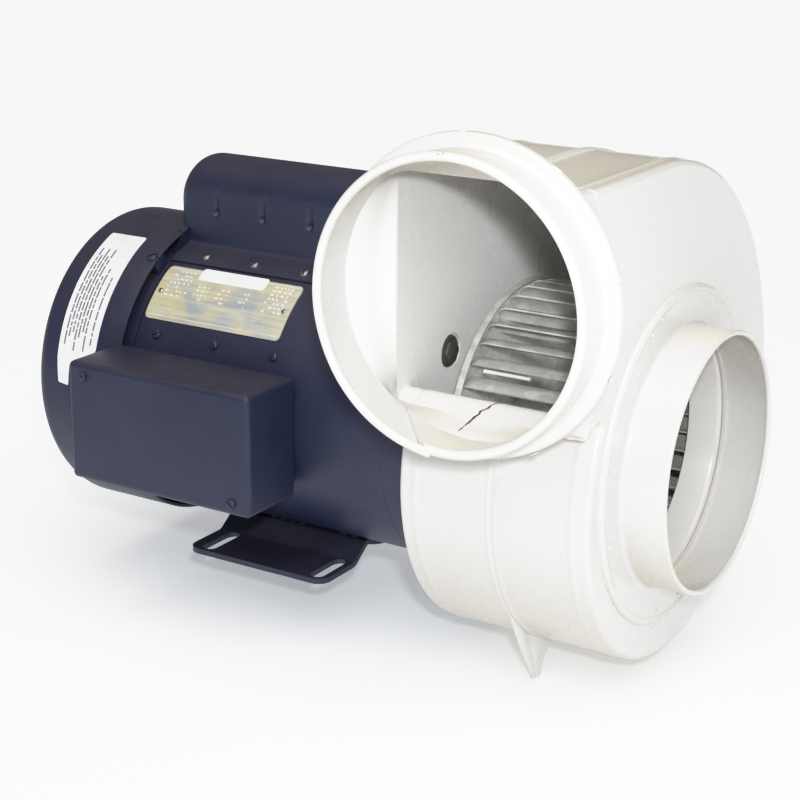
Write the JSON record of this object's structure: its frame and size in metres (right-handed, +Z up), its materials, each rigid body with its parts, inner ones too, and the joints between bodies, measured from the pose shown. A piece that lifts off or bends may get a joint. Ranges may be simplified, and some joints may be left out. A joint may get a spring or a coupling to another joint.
{
  "type": "combustion fan",
  "caption": "Motor-driven scroll blower with a round outlet collar, a round inlet collar, a forward-curved impeller and a slotted motor foot.",
  "frame": {"origin": "centre of the four foot slots, on the underside of the foot", "axes": "+X the way the air leaves the outlet collar, +Y along the shaft from the motor to the inlet collar, +Z up"},
  "size_m": [0.2829, 0.4007, 0.3137],
  "materials": {
    "motor_paint": "satin",
    "housing_paint": "gloss",
    "galvanised": "satin",
    "fastener": "satin",
    "bright_steel": "polished",
    "core_steel": "matt",
    "cast_aluminium": "matt",
    "copper": "satin",
    "nameplate_foil": "satin",
    "label_paper": "matt",
    "black_plastic": "matt",
    "switch_board": "matt",
    "black_rubber": "matt"
  },
  "bodies": {
    "frame": {"motor_shell": "motor_paint", "drive_end_bell": "motor_paint", "rear_end_bell": "motor_paint", "fan_shroud": "motor_paint", "shroud_screws": "fastener", "motor_foot": "motor_paint", "capacitor_cover": "motor_paint", "capacitor_cover_screws": "fastener", "capacitor_cradle": "core_steel", "start_capacitor": "black_plastic", "run_capacitor": "cast_aluminium", "nameplate": "nameplate_foil", "nameplate_pins": "fastener", "shroud_label": "label_paper", "terminal_box_frame": "core_steel", "terminal_box_cover": "motor_paint", "terminal_box_screws": "fastener", "box_rivets": "motor_paint", "terminal_board": "switch_board", "lead_bushing": "black_rubber", "stator_core": "core_steel", "stator_windings": "copper", "start_switch": "switch_board", "drive_bearing_outer": "bright_steel", "drive_bearing_balls": "bright_steel", "rear_bearing_outer": "bright_steel", "rear_bearing_balls": "bright_steel", "tie_bolts": "fastener", "adapter_ring": "housing_paint", "face_bolts": "fastener", "housing_motor_half": "housing_paint", "housing_inlet_half": "housing_paint", "seam_band": "housing_paint", "seam_lug": "housing_paint", "outlet_transition": "housing_paint", "outlet_ring": "housing_paint", "outlet_collar": "housing_paint", "inlet_flange": "housing_paint", "inlet_collar": "housing_paint", "inlet_cone": "housing_paint", "shaft_seal": "black_rubber"},
    "rotor": {"motor_shaft": "bright_steel", "rotor_core": "core_steel", "rotor_cage": "cast_aluminium", "drive_bearing_inner": "bright_steel", "rear_bearing_inner": "bright_steel", "governor_plate": "core_steel", "cooling_fan": "black_plastic", "impeller_hub": "galvanised", "impeller_backplate": "galvanised", "impeller_blades": "galvanised", "impeller_end_ring": "galvanised", "impeller_set_screws": "fastener", "shaft_key": "bright_steel"},
    "governor": {"governor_spool": "switch_board"}
  },
  "joints": [
    {"name": "rotor_spin", "type": "hinge", "parent": "frame", "child": "rotor", "pos_m": [0, 0, 0.0889], "axis": [0, 1, 0], "continuous": true},
    {"name": "governor_slide", "type": "slide", "parent": "rotor", "child": "governor", "axis": [0, 1, 0], "range_m": [0, 0.003], "stiffness_N_per_m": 200, "springref_m": -0.004}
  ]
}
